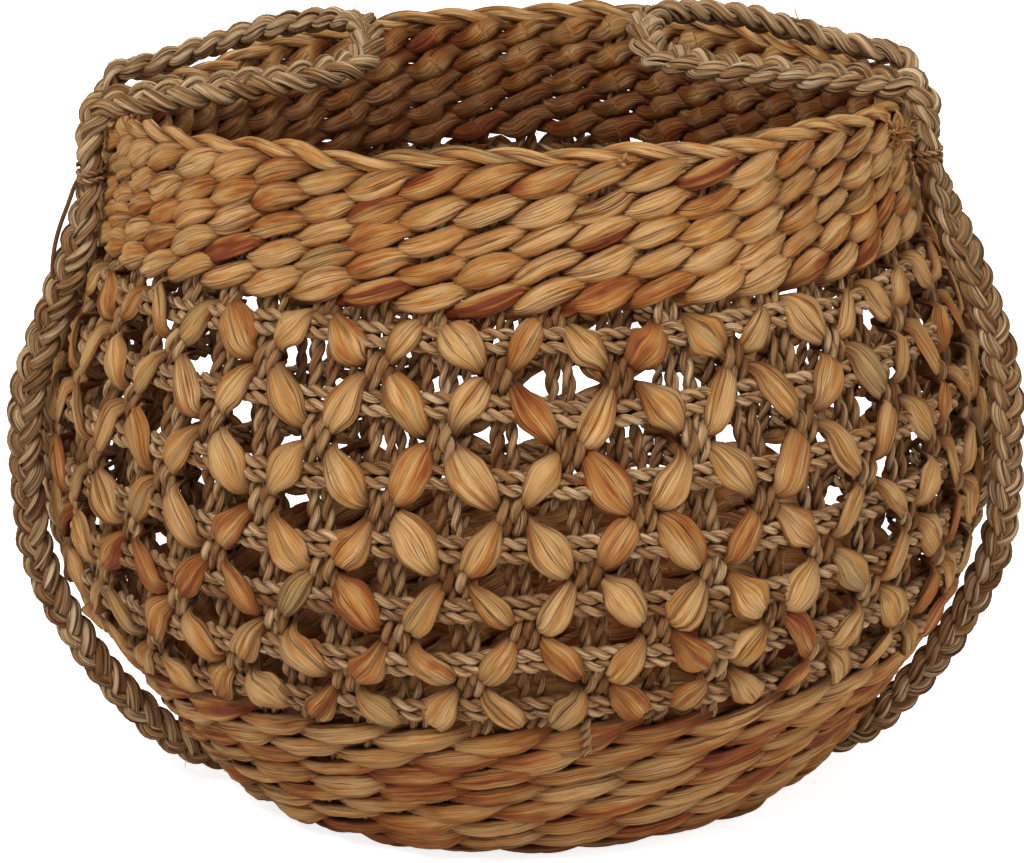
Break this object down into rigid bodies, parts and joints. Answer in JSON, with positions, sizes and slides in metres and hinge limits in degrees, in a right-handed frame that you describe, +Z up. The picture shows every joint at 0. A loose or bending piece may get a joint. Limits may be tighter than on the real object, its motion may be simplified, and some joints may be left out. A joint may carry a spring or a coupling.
{
  "type": "basket",
  "caption": "Round belly basket with an openwork woven wall, a thick woven collar and base, and two rope loop handles.",
  "frame": {"origin": "centre of the base on the resting surface", "axes": "+Z up through the mouth, +X towards the right handle, -Y towards the front"},
  "size_m": [0.4508, 0.4216, 0.3451],
  "materials": {
    "seagrass_cord": "matt twisted seagrass cord",
    "hyacinth_leaf": "satin dried water hyacinth leaf",
    "hyacinth_base": "satin dried water hyacinth leaf",
    "braided_rope": "matt braided seagrass rope"
  },
  "bodies": {
    "basket": {"stake_pair_1": "seagrass_cord", "stake_pair_2": "seagrass_cord", "stake_pair_3": "seagrass_cord", "stake_pair_4": "seagrass_cord", "stake_pair_5": "seagrass_cord", "stake_pair_6": "seagrass_cord", "stake_pair_7": "seagrass_cord", "stake_pair_8": "seagrass_cord", "stake_pair_9": "seagrass_cord", "stake_pair_10": "seagrass_cord", "stake_pair_11": "seagrass_cord", "stake_pair_12": "seagrass_cord", "stake_pair_13": "seagrass_cord", "stake_pair_14": "seagrass_cord", "stake_pair_15": "seagrass_cord", "stake_pair_16": "seagrass_cord", "stake_pair_17": "seagrass_cord", "stake_pair_18": "seagrass_cord", "stake_pair_19": "seagrass_cord", "stake_pair_20": "seagrass_cord", "stake_pair_21": "seagrass_cord", "stake_pair_22": "seagrass_cord", "stake_pair_23": "seagrass_cord", "stake_pair_24": "seagrass_cord", "openwork_round_1": "seagrass_cord", "openwork_round_2": "seagrass_cord", "openwork_round_3": "seagrass_cord", "openwork_round_4": "seagrass_cord", "openwork_round_5": "seagrass_cord", "openwork_round_6": "seagrass_cord", "openwork_round_7": "seagrass_cord", "leaf_strip_1": "hyacinth_leaf", "leaf_strip_2": "hyacinth_leaf", "leaf_strip_3": "hyacinth_leaf", "leaf_strip_4": "hyacinth_leaf", "leaf_strip_5": "hyacinth_leaf", "leaf_strip_6": "hyacinth_leaf", "leaf_strip_7": "hyacinth_leaf", "collar_round_1": "hyacinth_leaf", "collar_round_2": "hyacinth_leaf", "collar_round_3": "hyacinth_leaf", "collar_round_4": "hyacinth_leaf", "collar_round_5": "hyacinth_leaf", "rim_strand": "hyacinth_leaf", "base_bowl": "hyacinth_base", "base_floor": "hyacinth_base", "left_front_side_rope": "braided_rope", "left_rear_side_rope": "braided_rope", "right_front_side_rope": "braided_rope", "right_rear_side_rope": "braided_rope", "left_front_tie": "seagrass_cord", "left_rear_tie": "seagrass_cord", "right_front_tie": "seagrass_cord", "right_rear_tie": "seagrass_cord"},
    "left_handle": {"left_handle_loop": "braided_rope"},
    "right_handle": {"right_handle_loop": "braided_rope"}
  },
  "joints": [
    {"name": "left_handle_swing", "type": "hinge", "parent": "basket", "child": "left_handle", "pos_m": [-0.17918, 0, 0.31761], "axis": [0, -1, 0], "range_deg": [0, 160]},
    {"name": "right_handle_swing", "type": "hinge", "parent": "basket", "child": "right_handle", "pos_m": [0.17918, 0, 0.31761], "axis": [0, 1, 0], "range_deg": [0, 160]}
  ]
}
